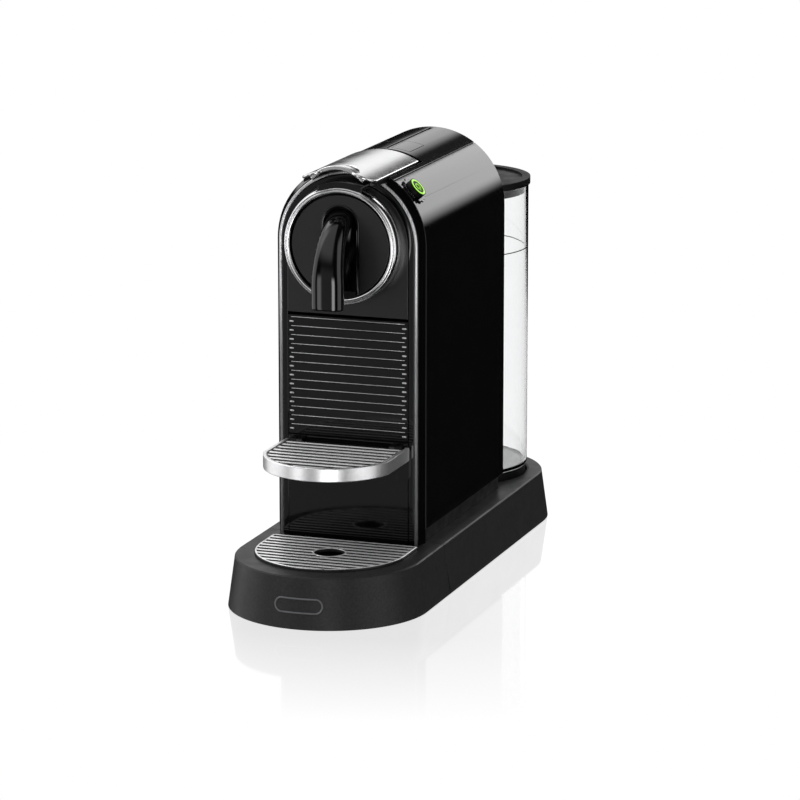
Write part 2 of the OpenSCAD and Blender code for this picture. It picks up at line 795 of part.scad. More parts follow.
// ---- Lever ----

// Plan of the lever: straight sides, two round lobes in front and a notch between them
module lever_2d(g) difference() {
    union() {
        translate([-lever_half_w + g, lever_side_y]) square([2 * (lever_half_w - g), lever_back_y - g - lever_side_y]);
        for (side = [-1, 1]) translate([side * lobe_x, lobe_y]) circle(lobe_r - g);
    }
    translate([0, lobe_y]) circle(notch_r + g);
    translate([-6, lobe_y - 20]) square([12, 20]);
}

module lever_skin() color("#d8d8dc") {
    intersection() {
        translate([0, 0, arch_z]) linear_extrude(body_r + 5) lever_2d(0);
        front_slab(-big / 2, 0) band_2d(lever_ro - lever_skin_t, lever_ro, -60, 60);
    }
    front_slab(lip_y[0], lip_y[1]) intersection() {
        translate([0, lip_z - lip_r]) difference() {
            circle(lip_r);
            circle(lip_r - lip_t);
        }
        translate([-lip_half_w, arch_z + 40]) square([2 * lip_half_w, 60]);
    }
}

module lever_frame() color("#121213") difference() {
    union() {
        intersection() {
            translate([0, 0, arch_z]) linear_extrude(body_r + 5) lever_2d(0.6);
            front_slab(lip_y[1] + 0.2, 0) band_2d(lever_ri, lever_ro - lever_skin_t - 0.05, -60, 60);
        }
        for (side = [0, 1]) mirror([side, 0, 0]) {
            rod_x(knuckle_x[0], knuckle_x[1], hinge_y, hinge_z, 3.1);
            block([knuckle_x[0], hinge_y - 3.1, hinge_z], [knuckle_x[1], hinge_y + 3.1, arch_z + lever_ri - 0.2]);
        }
    }
    rod_x(-20, 20, hinge_y, hinge_z, hinge_pin_r + hinge_clear);
}

// ---- Brew carriage ----

module capsule_cage() color("#3a3a3e") difference() {
    union() {
        rod_y(cage_y[0], cage_y[1], 0, arch_z, cage_r);
        rod_x(-cheek_x[0] - 1.5, cheek_x[0] + 1.5, cage_y[1] - 6, arch_z, 3);
    }
    rod_y(cage_y[0] - 1, cage_y[1] - 2.5, 0, arch_z, cage_ri);
}

module cage_piston() color("#c8c8cc") difference() {
    rod_y(cage_y[1], cage_y[1] + 10, 0, arch_z, 7);
    rod_y(cage_y[1] - 1, cage_y[1] + 11, 0, arch_z, 2.2);
}

// ---- Drip module ----

module drip_base() color("#1c1c1e") difference() {
    base_block(true, -base_seam_y + seam_gap, base_profile(0, base_foot_z, base_h, base_chamfer));
    intersection() {
        base_block(true, -base_seam_y + seam_gap + base_wall,
            base_profile(base_wall, base_foot_z + 2, base_h - base_wall, 0));
        translate([-big / 2, -big, 0]) cube([big, big - 93, base_h]);
    }
    translate([0, 0, base_foot_z + 2]) linear_extrude(base_h) tongue_2d(grid_r - 1.8, -end_y, grid_rear_y - 1.6);
    translate([0, 0, grid_z - grid_t]) linear_extrude(base_h) tongue_2d(grid_r + 0.3, -end_y, grid_rear_y + 0.3);
}

module lower_front() color("#0a0a0b") difference() {
    union() {
        block([-front_half_w, front_y, base_h], [front_half_w, front_y + front_t, lower_front_top]);
        for (side = [0, 1]) mirror([side, 0, 0]) {
            block([lug_x[0], pivot_y, pivot_z - knuckle_r], [lug_x[1], front_y, pivot_z + knuckle_r]);
            rod_x(lug_x[0], lug_x[1], pivot_y, pivot_z, knuckle_r);
            front_slab(front_y - bracket_t, front_y) bracket_2d();
        }
    }
    rod_x(-lug_x[1] - 1, lug_x[1] + 1, pivot_y, pivot_z, pivot_pin_r + 0.01);
}

// Front view of the round-cornered plate behind each knuckle of the cup support
module bracket_2d() {
    w = bracket_x[1] - bracket_x[0];
    h = bracket_z[1] - bracket_z[0];
    for (x = [bracket_r, w - bracket_r], z = [bracket_r, h - bracket_r])
        translate([bracket_x[0] + x, bracket_z[0] + z]) circle(bracket_r);
    translate([bracket_x[0] + bracket_r, bracket_z[0]]) square([w - 2 * bracket_r, h]);
    translate([bracket_x[0], bracket_z[0] + bracket_r]) square([w, h - 2 * bracket_r]);
}

module ribbed_front() color("#121213") difference() {
    block([-front_half_w, front_y, lower_front_top + 0.3], [front_half_w, front_y + front_t, rib_top_z + 1]);
    for (i = [0 : ribs - 1]) block([-front_half_w - 1, front_y - 1, rib_top_z - rib_pitch * i - rib_cut],
        [front_half_w + 1, front_y + 0.8, rib_top_z - rib_pitch * i]);
}

module capsule_container() color("#242426") difference() {
    block([-bin_half_w, front_y + front_t, bin_z[0]], [bin_half_w, bin_back_y, bin_z[1]]);
    block([-bin_half_w + bin_wall, front_y + front_t + bin_wall, bin_z[0] + bin_wall],
        [bin_half_w - bin_wall, bin_back_y - bin_wall, bin_z[1] + 1]);
}

module support_pins() color("#c8c8cc") for (side = [0, 1]) mirror([side, 0, 0])
    rod_x(lug_x[0], support_knuckle_x[1] - 0.5, pivot_y, pivot_z, pivot_pin_r);

// Rows of slots across X between y0 and y1, which leave bars of the given width
module slots_2d(y0, y1, pitch, bar) for (y = [y0 : pitch : y1 - pitch + eps])
    translate([-big / 2, y + bar / 2]) square([big, pitch - bar]);

module drip_grid() color("#c4c4c8") {
    translate([0, 0, grid_z - grid_t + 0.1]) linear_extrude(grid_t - 0.1) difference() {
        tongue_2d(grid_r, -end_y, grid_rear_y);
        difference() {
            intersection() {
                tongue_2d(grid_r - 1.6, -end_y, grid_rear_y - 1.6);
                slots_2d(-end_y - grid_r + 2, grid_rear_y, grid_pitch, grid_bar);
            }
            translate(grid_hole) circle(grid_hole_r + 1.4);
        }
        translate(grid_hole) circle(grid_hole_r);
    }
}

// ---- Cup support ----

module support_base() color("#141415") difference() {
    union() {
        translate([0, 0, support_z - band_h + 0.5]) linear_extrude(2) difference() {
            support_2d(band_t + 0.05, support_back_y);
            intersection() {
                support_2d(band_t + 5, support_back_y - 8);
                slots_2d(support_y - support_r + 8, support_back_y, support_pitch, 5);
            }
        }
        for (side = [0, 1]) mirror([side, 0, 0]) {
            rod_x(support_knuckle_x[0], support_knuckle_x[1], pivot_y, pivot_z, knuckle_r);
            block([support_knuckle_x[0], pivot_y - knuckle_r, support_z - band_h + 0.5],
                [support_knuckle_x[1], support_back_y, pivot_z]);
        }
        block([-28, support_back_y - 2, support_z - band_h + 0.5], [28, support_back_y, support_z - 0.8]);
    }
    for (side = [0, 1]) mirror([side, 0, 0])
        rod_x(support_knuckle_x[0] - 1, support_knuckle_x[1] - 0.4, pivot_y, pivot_z, pivot_pin_r + 0.06);
}

module support_band() color("#dcdce0") translate([0, 0, support_z - band_h]) linear_extrude(band_h)
    difference() {
        support_2d(0, support_back_y);
        support_2d(band_t, support_back_y + 1);
    }

module support_grille() color("#c4c4c8") translate([0, 0, support_z - 2.8]) linear_extrude(2.6)
    difference() {
        support_2d(band_t + 0.05, pivot_y - 4);
        intersection() {
            support_2d(band_t + 1.2, pivot_y - 5.2);
            slots_2d(support_y - support_r + 5, pivot_y, support_pitch, support_bar);
        }
    }

// ---- Water tank ----

module water_tank() color("#dfe8ee", 0.35) difference() {
    translate([0, 0, tank_floor_z]) linear_extrude(tank_top_z - tank_floor_z) tank_2d(tank_r);
    translate([0, 0, tank_floor_z + 2]) linear_extrude(tank_top_z) tank_2d(tank_r - tank_wall);
    translate([0, valve_y, 0]) cylinder(h = tank_floor_z + 5, r = valve_r + 0.02);
}

module tank_foot() color("#101011") difference() {
    translate([0, 0, tank_foot_z]) linear_extrude(tank_floor_z - tank_foot_z) tank_2d(tank_r - 1);
    translate([0, 0, tank_foot_z - 1]) linear_extrude(tank_floor_z) tank_2d(tank_r - 5);
}

module tank_valve() color("#e8e8e8") translate([0, valve_y, 0]) difference() {
    union() {
        translate([0, 0, 30.8]) cylinder(h = 14, r = valve_r);
        translate([0, 0, tank_floor_z + 2]) cylinder(h = 1.5, r = 9.5);
    }
    translate([0, 0, 30]) cylinder(h = 16, r = valve_bore_r);
}

module tank_lid() color("#0e0e0f") translate([0, 0, tank_top_z + 0.1]) difference() {
    union() {
        linear_extrude(lid_rim_h) tank_2d(tank_r + lid_overhang);
        translate([0, 0, -lid_plug_h]) linear_extrude(lid_plug_h + 1) tank_2d(tank_r - tank_wall - 0.8);
    }
    translate([0, 0, lid_rim_h - 1.5]) linear_extrude(5) tank_2d(tank_r + lid_overhang - lid_lip_w);
    translate([0, 0, -lid_plug_h - 1]) linear_extrude(lid_plug_h + 1.6) tank_2d(tank_r - tank_wall - 2.6);
}

base_shell();
bottom_cover();
rubber_feet();
case_screws();
cord_gland();
tank_seat();
seat_seal();
chassis_frame();
chassis_floor();
bulkhead();
bay_shelf();
side_cover_left();
side_cover_right();
top_cover();
rear_panel();
front_bezel();
front_trim();
front_plate();
head_hood();
head_ring();
head_disc();
spout();
brew_frame();
piercing_plate();
capsule_guide();
lever_pin();
pump();
pump_mounts();
pump_bracket();
thermoblock();
boiler_bracket();
flow_meter();
water_hoses();
pressure_pipe();
circuit_board();
board_standoffs();
button_board();
power_collar();
power_switch();
lever_skin();
lever_frame();
capsule_cage();
cage_piston();
power_button();
power_light_ring();
espresso_button();
lungo_button();
drip_base();
lower_front();
ribbed_front();
capsule_container();
support_pins();
drip_grid();
support_base();
support_band();
support_grille();
water_tank();
tank_foot();
tank_valve();
tank_lid();
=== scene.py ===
import json
from math import asin, atan, cos, degrees, pi, radians, sin, sqrt

import bmesh
import bpy
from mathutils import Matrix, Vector


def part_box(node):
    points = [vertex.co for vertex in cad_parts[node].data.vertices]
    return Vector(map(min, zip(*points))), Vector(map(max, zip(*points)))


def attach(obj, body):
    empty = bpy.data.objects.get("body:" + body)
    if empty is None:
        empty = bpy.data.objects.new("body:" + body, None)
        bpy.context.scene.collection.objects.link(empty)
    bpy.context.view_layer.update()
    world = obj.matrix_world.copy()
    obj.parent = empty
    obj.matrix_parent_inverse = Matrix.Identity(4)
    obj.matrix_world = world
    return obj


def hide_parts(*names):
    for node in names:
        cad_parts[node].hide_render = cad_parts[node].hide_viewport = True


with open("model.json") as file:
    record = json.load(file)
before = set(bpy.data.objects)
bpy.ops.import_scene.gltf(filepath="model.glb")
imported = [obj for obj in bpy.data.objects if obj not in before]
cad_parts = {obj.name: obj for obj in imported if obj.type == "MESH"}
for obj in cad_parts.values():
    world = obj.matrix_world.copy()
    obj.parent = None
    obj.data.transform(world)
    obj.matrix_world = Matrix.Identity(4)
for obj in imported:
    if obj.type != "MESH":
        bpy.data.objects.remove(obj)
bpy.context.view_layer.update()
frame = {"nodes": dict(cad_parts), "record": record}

MM = 0.001
NODES = frame["nodes"]
SLOT_OF = {part["node"]: part["material_slot"] for part in frame["record"]["subparts"]}


# ---------------------------------------------------------------- materials

class Shader:
    """A material's node tree around one Principled shader, with short names for what is used often."""

    def __init__(self, name, color, roughness, metallic=0.0, **sockets):
        self.material = bpy.data.materials.new(name)
        self.material.use_nodes = True
        self.tree = self.material.node_tree
        self.shader = self.tree.nodes["Principled BSDF"]
        self.set("Base Color", (*color, 1.0))
        self.set("Roughness", roughness)
        self.set("Metallic", metallic)
        for socket, value in sockets.items():
            self.set(socket.replace("_", " "), value)
        self.coords = self.tree.nodes.new("ShaderNodeTexCoord").outputs["Object"]
        self.base = color

    def set(self, socket, value):
        self.shader.inputs[socket].default_value = value

    def link(self, output, node_input):
        self.tree.links.new(output, node_input)

    def stretched(self, scale):
        """Object coordinates, multiplied by a scale on each axis."""
        node = self.tree.nodes.new("ShaderNodeMapping")
        node.inputs["Scale"].default_value = scale
        self.link(self.coords, node.inputs["Vector"])
        return node.outputs["Vector"]

    def noise(self, scale, detail=3.0, stretch=(1, 1, 1)):
        node = self.tree.nodes.new("ShaderNodeTexNoise")
        node.inputs["Scale"].default_value = scale
        node.inputs["Detail"].default_value = detail
        self.link(self.stretched(stretch), node.inputs["Vector"])
        return node.outputs["Fac"]

    def spread(self, value, low, high, from_low=0.3, from_high=0.7):
        """Maps a noise value to a range."""
        node = self.tree.nodes.new("ShaderNodeMapRange")
        ends = {"From Min": from_low, "From Max": from_high, "To Min": low, "To Max": high}
        for socket, number in ends.items():
            node.inputs[socket].default_value = number
        self.link(value, node.inputs["Value"])
        return node.outputs["Result"]

    def vary_roughness(self, value, low, high):
        self.link(self.spread(value, low, high), self.shader.inputs["Roughness"])
        return self

    def vary_color(self, value, darker, lighter):
        """The base colour, multiplied by a factor between darker and lighter."""
        ramp = self.tree.nodes.new("ShaderNodeValToRGB")
        ramp.color_ramp.elements[0].position = 0.3
        ramp.color_ramp.elements[1].position = 0.7
        ramp.color_ramp.elements[0].color = (*[c * darker for c in self.base], 1)
        ramp.color_ramp.elements[1].color = (*[c * lighter for c in self.base], 1)
        self.link(value, ramp.inputs["Fac"])
        self.link(ramp.outputs["Color"], self.shader.inputs["Base Color"])
        return self

    def bump(self, value, strength, depth_mm):
        node = self.tree.nodes.new("ShaderNodeBump")
        node.inputs["Strength"].default_value = strength
        node.inputs["Distance"].default_value = depth_mm * MM
        self.link(value, node.inputs["Height"])
        before = self.shader.inputs["Normal"].links
        if before:
            self.link(before[0].from_socket, node.inputs["Normal"])
        self.link(node.outputs["Normal"], self.shader.inputs["Normal"])
        return self


    def paint_side_shade(self, factor):
        """Painted shade: faces that look sideways are painted darker than those that look up."""
        parts = self.tree.nodes.new("ShaderNodeSeparateXYZ")
        self.link(self.coords.node.outputs["Normal"], parts.inputs[0])
        mix = self.tree.nodes.new("ShaderNodeVectorMath")
        mix.operation = "SCALE"
        color = self.shader.inputs["Base Color"]
        self.link(color.links[0].from_socket, mix.inputs[0])
        self.link(self.spread(parts.outputs["Z"], factor, 1, 0.35, 0.95), mix.inputs["Scale"])
        self.link(mix.outputs["Vector"], color)
        return self


def gloss_black():
    """Polished black plastic: faint flow ripple and fine polishing haze."""
    s = Shader("gloss_black", (0.0022, 0.0022, 0.0026), 0.07, Specular_IOR_Level=0.5)
    s.vary_roughness(s.noise(260, 6), 0.05, 0.10)
    s.bump(s.noise(55, 2), 0.12, 0.05)
    return s.vary_color(s.noise(30, 4), 0.8, 1.25)


def satin_base():
    """Moulded base plastic with a spark-eroded grain."""
    s = Shader("satin_base", (0.021, 0.021, 0.022), 0.42, Specular_IOR_Level=0.18)
    grain = s.noise(2600, 2)
    s.vary_roughness(s.noise(90, 5), 0.36, 0.47)
    s.bump(grain, 0.35, 0.05)
    return s.vary_color(s.noise(700, 4), 0.82, 1.2)


def satin_front():
    """Satin plastic of the front plate and disc."""
    s = Shader("satin_front", (0.0050, 0.0050, 0.0053), 0.34)
    s.vary_roughness(s.noise(150, 5), 0.30, 0.40)
    s.bump(s.noise(3000, 2), 0.2, 0.03)
    return s.vary_color(s.noise(900, 3), 0.85, 1.18)


def matte_black():
    """Plain moulded black plastic with a visible grain."""
    s = Shader("matte_black", (0.0045, 0.0045, 0.0048), 0.5, Specular_IOR_Level=0.15)
    s.vary_roughness(s.noise(120, 5), 0.42, 0.58)
    s.bump(s.noise(1900, 3), 0.4, 0.06)
    return s.vary_color(s.noise(500, 4), 0.8, 1.25)


def inner_plastic():
    """Glass-filled dark grey plastic of the hidden frame parts."""
    s = Shader("inner_plastic", (0.045, 0.045, 0.05), 0.55)
    s.vary_roughness(s.noise(300, 6, (1, 0.2, 1)), 0.45, 0.65)
    s.bump(s.noise(1400, 4, (1, 0.3, 1)), 0.5, 0.08)
    return s.vary_color(s.noise(240, 5, (1, 0.25, 1)), 0.7, 1.4)


def chrome():
    """Bright plating with a little haze and faint buffing lines."""
    s = Shader("chrome", (0.80, 0.80, 0.81), 0.2, 1.0)
    s.vary_roughness(s.noise(60, 4), 0.17, 0.22)
    return s.vary_color(s.noise(60, 4), 0.94, 1.04)


def satin_plate():
    """Plating blasted to an even satin."""
    s = Shader("satin_plate", (0.86, 0.86, 0.87), 0.36, 0.9)
    s.vary_roughness(s.noise(220, 5), 0.33, 0.39)
    return s.vary_color(s.noise(400, 4), 0.95, 1.03)


def brushed(name, color, low, high, stretch, metallic=1.0):
    """Metal brushed along one axis."""
    s = Shader(name, color, 0.3, metallic)
    lines = s.noise(1500, 5, stretch)
    s.vary_roughness(lines, low, high)
    s.bump(lines, 0.25, 0.02)
    return s.vary_color(s.noise(300, 5, stretch), 0.86, 1.08)


def bright_grille():
    """Bars with painted shade: bright on top and painted dark on their sides."""
    s = brushed("bright_grille", (0.92, 0.92, 0.93), 0.24, 0.38, (0.03, 1, 1), 0.55)
    # Painted shade: the bars' sides are painted darker than their tops
    return s.paint_side_shade(0.04)


def cast_metal():
    """Rough cast metal."""
    s = Shader("cast_metal", (0.55, 0.56, 0.58), 0.45, 1.0)
    s.vary_roughness(s.noise(500, 6), 0.35, 0.6)
    s.bump(s.noise(1100, 5), 0.6, 0.15)
    return s.vary_color(s.noise(150, 5), 0.75, 1.1)


def rubber():
    """Dull rubber with a fine grain."""
    s = Shader("rubber", (0.018, 0.018, 0.018), 0.75)
    s.vary_roughness(s.noise(400, 5), 0.65, 0.85)
    s.bump(s.noise(2200, 4), 0.5, 0.06)
    return s.vary_color(s.noise(300, 5), 0.8, 1.35)


def soft_plastic(name, color, roughness=0.4):
    """Unpainted small moulding or hose."""
    s = Shader(name, color, roughness, Subsurface_Weight=0.05)
    s.vary_roughness(s.noise(350, 5), roughness - 0.07, roughness + 0.08)
    s.bump(s.noise(1500, 3), 0.3, 0.04)
    return s.vary_color(s.noise(260, 5), 0.86, 1.08)


def green_light():
    """Lit green lens: bright, with a faint cloudiness."""
    s = Shader("green_light", (0.30, 0.72, 0.02), 0.3, Emission_Strength=0.55)
    s.set("Emission Color", (0.32, 0.80, 0.02, 1))
    s.vary_roughness(s.noise(900, 3), 0.22, 0.4)
    return s.vary_color(s.noise(600, 4), 0.85, 1.1)


def clear_plastic():
    """Clear moulded plastic with slight ripple from moulding."""
    s = Shader("clear_plastic", (0.985, 0.99, 0.992), 0.02, IOR=1.46, Transmission_Weight=1.0)
    s.vary_roughness(s.noise(90, 4), 0.01, 0.035)
    s.bump(s.noise(40, 2), 0.04, 0.05)
    return s.vary_color(s.noise(50, 3), 0.985, 1.0)


MATERIALS = {
    "satin_black_base": satin_base(),
    "matte_black_plastic": matte_black(),
    "inner_plastic": inner_plastic(),
    "gloss_black_plastic": gloss_black(),
    "satin_black_front": satin_front(),
    "chrome_plate": chrome(),
    "satin_plate": satin_plate(),
    "brushed_trim": brushed("brushed_trim", (0.66, 0.66, 0.67), 0.22, 0.38, (1, 1, 0.03), 0.65),
    "bright_grille": bright_grille(),
    "plain_steel": brushed("plain_steel", (0.55, 0.55, 0.56), 0.25, 0.4, (0.1, 1, 1)),
    "zinc_bracket": brushed("zinc_bracket", (0.48, 0.50, 0.53), 0.3, 0.5, (1, 0.6, 0.6)),
    "cast_aluminium": cast_metal(),
    "black_rubber": rubber(),
    "silicone_seal": soft_plastic("silicone_seal", (0.35, 0.06, 0.035), 0.5),
    "silicone_hose": soft_plastic("silicone_hose", (0.62, 0.62, 0.58), 0.4),
    "pump_shell": soft_plastic("pump_shell", (0.42, 0.40, 0.34), 0.35),
    "grey_print": soft_plastic("grey_print", (0.10, 0.10, 0.105), 0.5),
    "white_plastic": soft_plastic("white_plastic", (0.75, 0.75, 0.73), 0.35),
    "circuit_green": soft_plastic("circuit_green", (0.015, 0.16, 0.05), 0.3),
    "brass_standoff": brushed("brass_standoff", (0.70, 0.50, 0.18), 0.2, 0.35, (0.1, 1, 1)),
    "green_light": green_light(),
    "clear_plastic": clear_plastic(),
}


def material(slot):
    return MATERIALS[slot].material


# ---------------------------------------------------------------- CAD nodes that keep their shape

def round_edges(obj, width_mm, segments=3, angle=32):
    """Rounds an object's hard edges and evens out its shading, with modifiers only."""
    weld = obj.modifiers.new("weld", "WELD")
    weld.merge_threshold = 0.004 * MM
    bevel = obj.modifiers.new("round", "BEVEL")
    bevel.width = width_mm * MM
    bevel.segments = segments
    bevel.limit_method = "ANGLE"
    bevel.angle_limit = radians(angle)
    bevel.miter_outer = "MITER_ARC"
    normals = obj.modifiers.new("normals", "WEIGHTED_NORMAL")
    normals.weight = 50
    normals.keep_sharp = True
    return obj


# Nodes whose look differs from their slot's usual one
LOOK = {"support_band": "satin_plate", "power_button": "matte_black_plastic"}


def soften(node, width_mm):
    """Rounds a CAD node's hard edges with modifiers and gives it its slot's material."""
    obj = NODES[node]
    mesh = obj.data
    mesh.materials.clear()
    mesh.materials.append(material(LOOK.get(node, SLOT_OF[node])))
    if "custom_normal" in mesh.attributes:
        mesh.attributes.remove(mesh.attributes["custom_normal"])
    mesh.shade_smooth()
    return round_edges(obj, width_mm)


EDGE_MM = {"base_shell": 0.8, "drip_base": 0.8, "side_cover_left": 0.35, "side_cover_right": 0.35,
           "top_cover": 0.35, "rear_panel": 0.3, "front_bezel": 0.3, "front_trim": 0.2, "front_plate": 0.35,
           "head_disc": 0.3, "tank_lid": 0.7, "water_tank": 0.6, "lower_front": 0.4, "drip_grid": 1.0,
           "support_band": 0.6, "support_grille": 1.1, "lever_skin": 0.5, "head_ring": 0.5}
for name in NODES:
    soften(name, EDGE_MM.get(name, 0.25))


# ---------------------------------------------------------------- tools for new pieces, in millimetres

def span(node):
    """A node's lowest and highest corners in millimetres."""
    low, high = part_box(node)
    return low / MM, high / MM


def middle(node):
    low, high = span(node)
    return (low + high) / 2


def piece(name, points, faces, slot, body, replaces=()):
    """A new mesh object, in millimetres in the shared frame, that rides on a body."""
    mesh = bpy.data.meshes.new(name)
    mesh.from_pydata([Vector(point) * MM for point in points], [], faces)
    shape = bmesh.new()
    shape.from_mesh(mesh)
    bmesh.ops.remove_doubles(shape, verts=shape.verts, dist=1e-7)
    bmesh.ops.recalc_face_normals(shape, faces=shape.faces)
    shape.to_mesh(mesh)
    shape.free()
    mesh.materials.append(material(slot))
    mesh.shade_smooth()
    obj = bpy.data.objects.new(name, mesh)
    bpy.context.scene.collection.objects.link(obj)
    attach(obj, body)
    if replaces:
        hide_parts(*replaces)
    return obj


def skin(rings, loop=False, around=True, caps=False):
    """Points and quads between rings; loop joins the last to the first, around closes each one."""
    size = len(rings[0])
    points = [point for ring in rings for point in ring]
    faces = []
    for i in range(len(rings) if loop else len(rings) - 1):
        first, second = i * size, (i + 1) % len(rings) * size
        for j in range(size if around else size - 1):
            k = (j + 1) % size
            faces.append((first + j, first + k, second + k, second + j))
    if caps:
        faces.append(tuple(range(size)))
        faces.append(tuple(reversed(range(len(points) - size, len(points)))))
    return points, faces


def many(name, parts, slot, body):
    """One piece made of several separate closed shapes."""
    points, faces = [], []
    for more_points, more_faces in parts:
        faces += [tuple(index + len(points) for index in face) for face in more_faces]
        points += more_points
    return piece(name, points, faces, slot, body)


def arc(center, radius, start, end, steps):
    """Points in a plane on an arc between two angles in degrees, measured from the first axis."""
    turns = [radians(start + (end - start) * i / steps) for i in range(steps + 1)]
    return [(center[0] + radius * cos(t), center[1] + radius * sin(t)) for t in turns]


def turned_y(profile, center, steps=144):
    """Turns a closed profile of (radius, y) about the axis along Y through center."""
    rings = []
    for i in range(steps):
        turn = 2 * pi * i / steps
        rings.append([(center.x + r * sin(turn), y, center.z + r * cos(turn)) for r, y in profile])
    return skin(rings, loop=True)


# ---------------------------------------------------------------- brew head

# The niche's half width and top inside its rounded edge, and that edge's radius
NICHE_HALF = 10.0
NICHE_FILLET = 2.5
NICHE_TOP = middle("head_disc").z + 26.1 - NICHE_FILLET


def head_ring():
    """Plated ring: a round bead in front, a fine groove, and a shoulder that swells towards the back."""
    low, high = span("head_ring")
    center = middle("head_ring")
    radius, front, back = center.x - low.x, low.y, high.y
    wall, bead, groove, groove_depth = 4.6, 1.15, 0.35, 1.5
    inner = radius - wall
    profile = [(inner, back)]
    profile += [(r, front + bead - d) for r, d in arc((inner + bead, 0), bead, 180, 0, 14)]
    start = inner + 2 * bead + groove
    profile += [(start - groove, front + groove_depth), (start, front + groove_depth)]
    # The shoulder, a quarter of an ellipse, and the step behind it
    swell, shoulder_y, shoulder_long = radius - start, 0.4, 5.6
    for i in range(11):
        turn = radians(9 * i)
        profile.append((start + swell * sin(turn), front + shoulder_y + shoulder_long * (1 - cos(turn))))
    step, step_y = 0.6, 9
    profile += [(radius, front + step_y), (radius - step, front + step_y + 2), (radius - step, back)]
    points, faces = turned_y(profile, center)
    obj = piece("head_ring_turned", points, faces, "chrome_plate", "machine", ["head_ring"])
    return round_edges(obj, 0.12, 2, 50)


def front_trim():
    """A half-round bead round the front opening: up one leg, over the arch and down the other."""
    low, high = span("front_trim")
    half, groove_half = 1.05, 1.3
    radius, top = high.x - groove_half, high.z - high.x
    path = [((-radius, low.z), (-1, 0))]
    path += [((x, z), (x / radius, (z - top) / radius)) for x, z in arc((0, top), radius, 180, 0, 72)]
    path += [((radius, low.z), (1, 0))]
    rings = []
    for (x, z), (right, up) in path:
        section = [(half, high.y)]
        section += [(half * cos(radians(t)), low.y + half * (1 - sin(radians(t)))) for t in range(0, 181, 12)]
        section += [(-half, high.y)]
        rings.append([(x + out * right, y, z + out * up) for out, y in section])
    return piece("front_trim_bead", *skin(rings, caps=True), "brushed_trim", "machine", ["front_trim"])


def niche_path(offset, bottom):
    """The niche's outline in X and Z, grown by offset, from one lower end over its round top."""
    half = NICHE_HALF + offset
    top = arc((0, NICHE_TOP - NICHE_HALF), half, 180, 0, 28)
    return [(-half, bottom(half))] + top + [(half, bottom(half))]


def head_disc():
    """Satin disc with a gloss niche let into it, whose edge is rounded over."""
    low, high = span("head_disc")
    center = middle("head_disc")
    radius, front = center.x - low.x, low.y

    def rim(half):
        return center.z - sqrt(radius * radius - half * half)

    plate_t, niche_wall, behind = 2.5, 0.8, 1.5
    edge = niche_path(NICHE_FILLET, rim)
    corner = degrees(atan(edge[0][0] / (center.z - edge[0][1])))
    outline = edge + arc((center.x, center.z), radius, -90 - corner, 270 + corner, 110)[1:-1]
    rings = [[(x, y, z) for x, z in outline] for y in (front, front + plate_t)]
    face = piece("head_disc_face", *skin(rings, caps=True), "satin_black_front", "machine", ["head_disc"])
    round_edges(face, 0.35, 3, 60)

    floor = high.y - front - behind
    section = [(NICHE_FILLET - x, NICHE_FILLET - y) for x, y in arc((0, 0), NICHE_FILLET, 90, 0, 9)]
    section.append((0, floor))
    rings = [[(x, front + depth, z) for x, z in niche_path(offset, rim)] for offset, depth in section]
    rings.append([(0, front + floor, min(z, NICHE_TOP - NICHE_HALF)) for x, z in niche_path(0, rim)])
    points, faces = skin(rings, around=False)
    niche = piece("spout_niche", points, faces, "gloss_black_plastic", "machine")
    thick = niche.modifiers.new("thickness", "SOLIDIFY")
    thick.thickness = niche_wall * MM
    thick.offset = 0
    return face, niche


def spout():
    """A hollow beak: it leaves the niche, bends down and widens to its mouth."""
    low, high = span("spout")
    wide, tip, front = high.x, low.z, low.y
    narrow, deep = 7.6, 6.3
    straight, bend_r, bend_a, bend_steps = 17.0, 39.0, 82, 30
    y0, z0 = front + 6.2, tip + straight

    def section(y, z, turn, half_w, half_d, count=56):
        """A rounded square across the beak, which points down at turn 0 and back at a quarter turn."""
        ring = []
        for i in range(count):
            t = 2 * pi * i / count
            side = half_w * abs(cos(t)) ** 0.86 * (1 if cos(t) > 0 else -1)
            out = half_d * abs(sin(t)) ** 0.9 * (1 if sin(t) > 0 else -1)
            ring.append((side, y - out * cos(turn), z + out * sin(turn)))
        return ring

    def half_width(z):
        return wide - (wide - narrow) * max(0, z - z0) / (high.z - z0)

    # Inside the mouth, round its edge, up the straight part and round the bend
    rings = [section(y0, tip + 6, 0, wide - 3.4, deep - 3.2)]
    rings.append(section(y0, tip + 0.6, 0, wide - 2.0, deep - 1.8))
    rings += [section(y0, tip + rise, 0, wide - inset, deep - inset)
              for rise, inset in ((0.1, 1.5), (0, 1.0), (0.15, 0.4), (0.6, 0.08), (1.2, 0))]
    rings += [section(y0, tip + 1.2 + (z0 - tip - 1.2) * i / 6, 0, wide, deep) for i in range(1, 6)]
    for i in range(bend_steps + 1):
        turn = radians(bend_a) * i / bend_steps
        y, z = y0 + bend_r * (1 - cos(turn)), z0 + bend_r * sin(turn)
        rings.append(section(y, z, turn, half_width(z), deep))
    points, faces = skin(rings, caps=True)
    return piece("spout_beak", points, faces, "gloss_black_plastic", "machine", ["spout"])


# ---------------------------------------------------------------- ribbed front

RIB_PITCH = 5.83


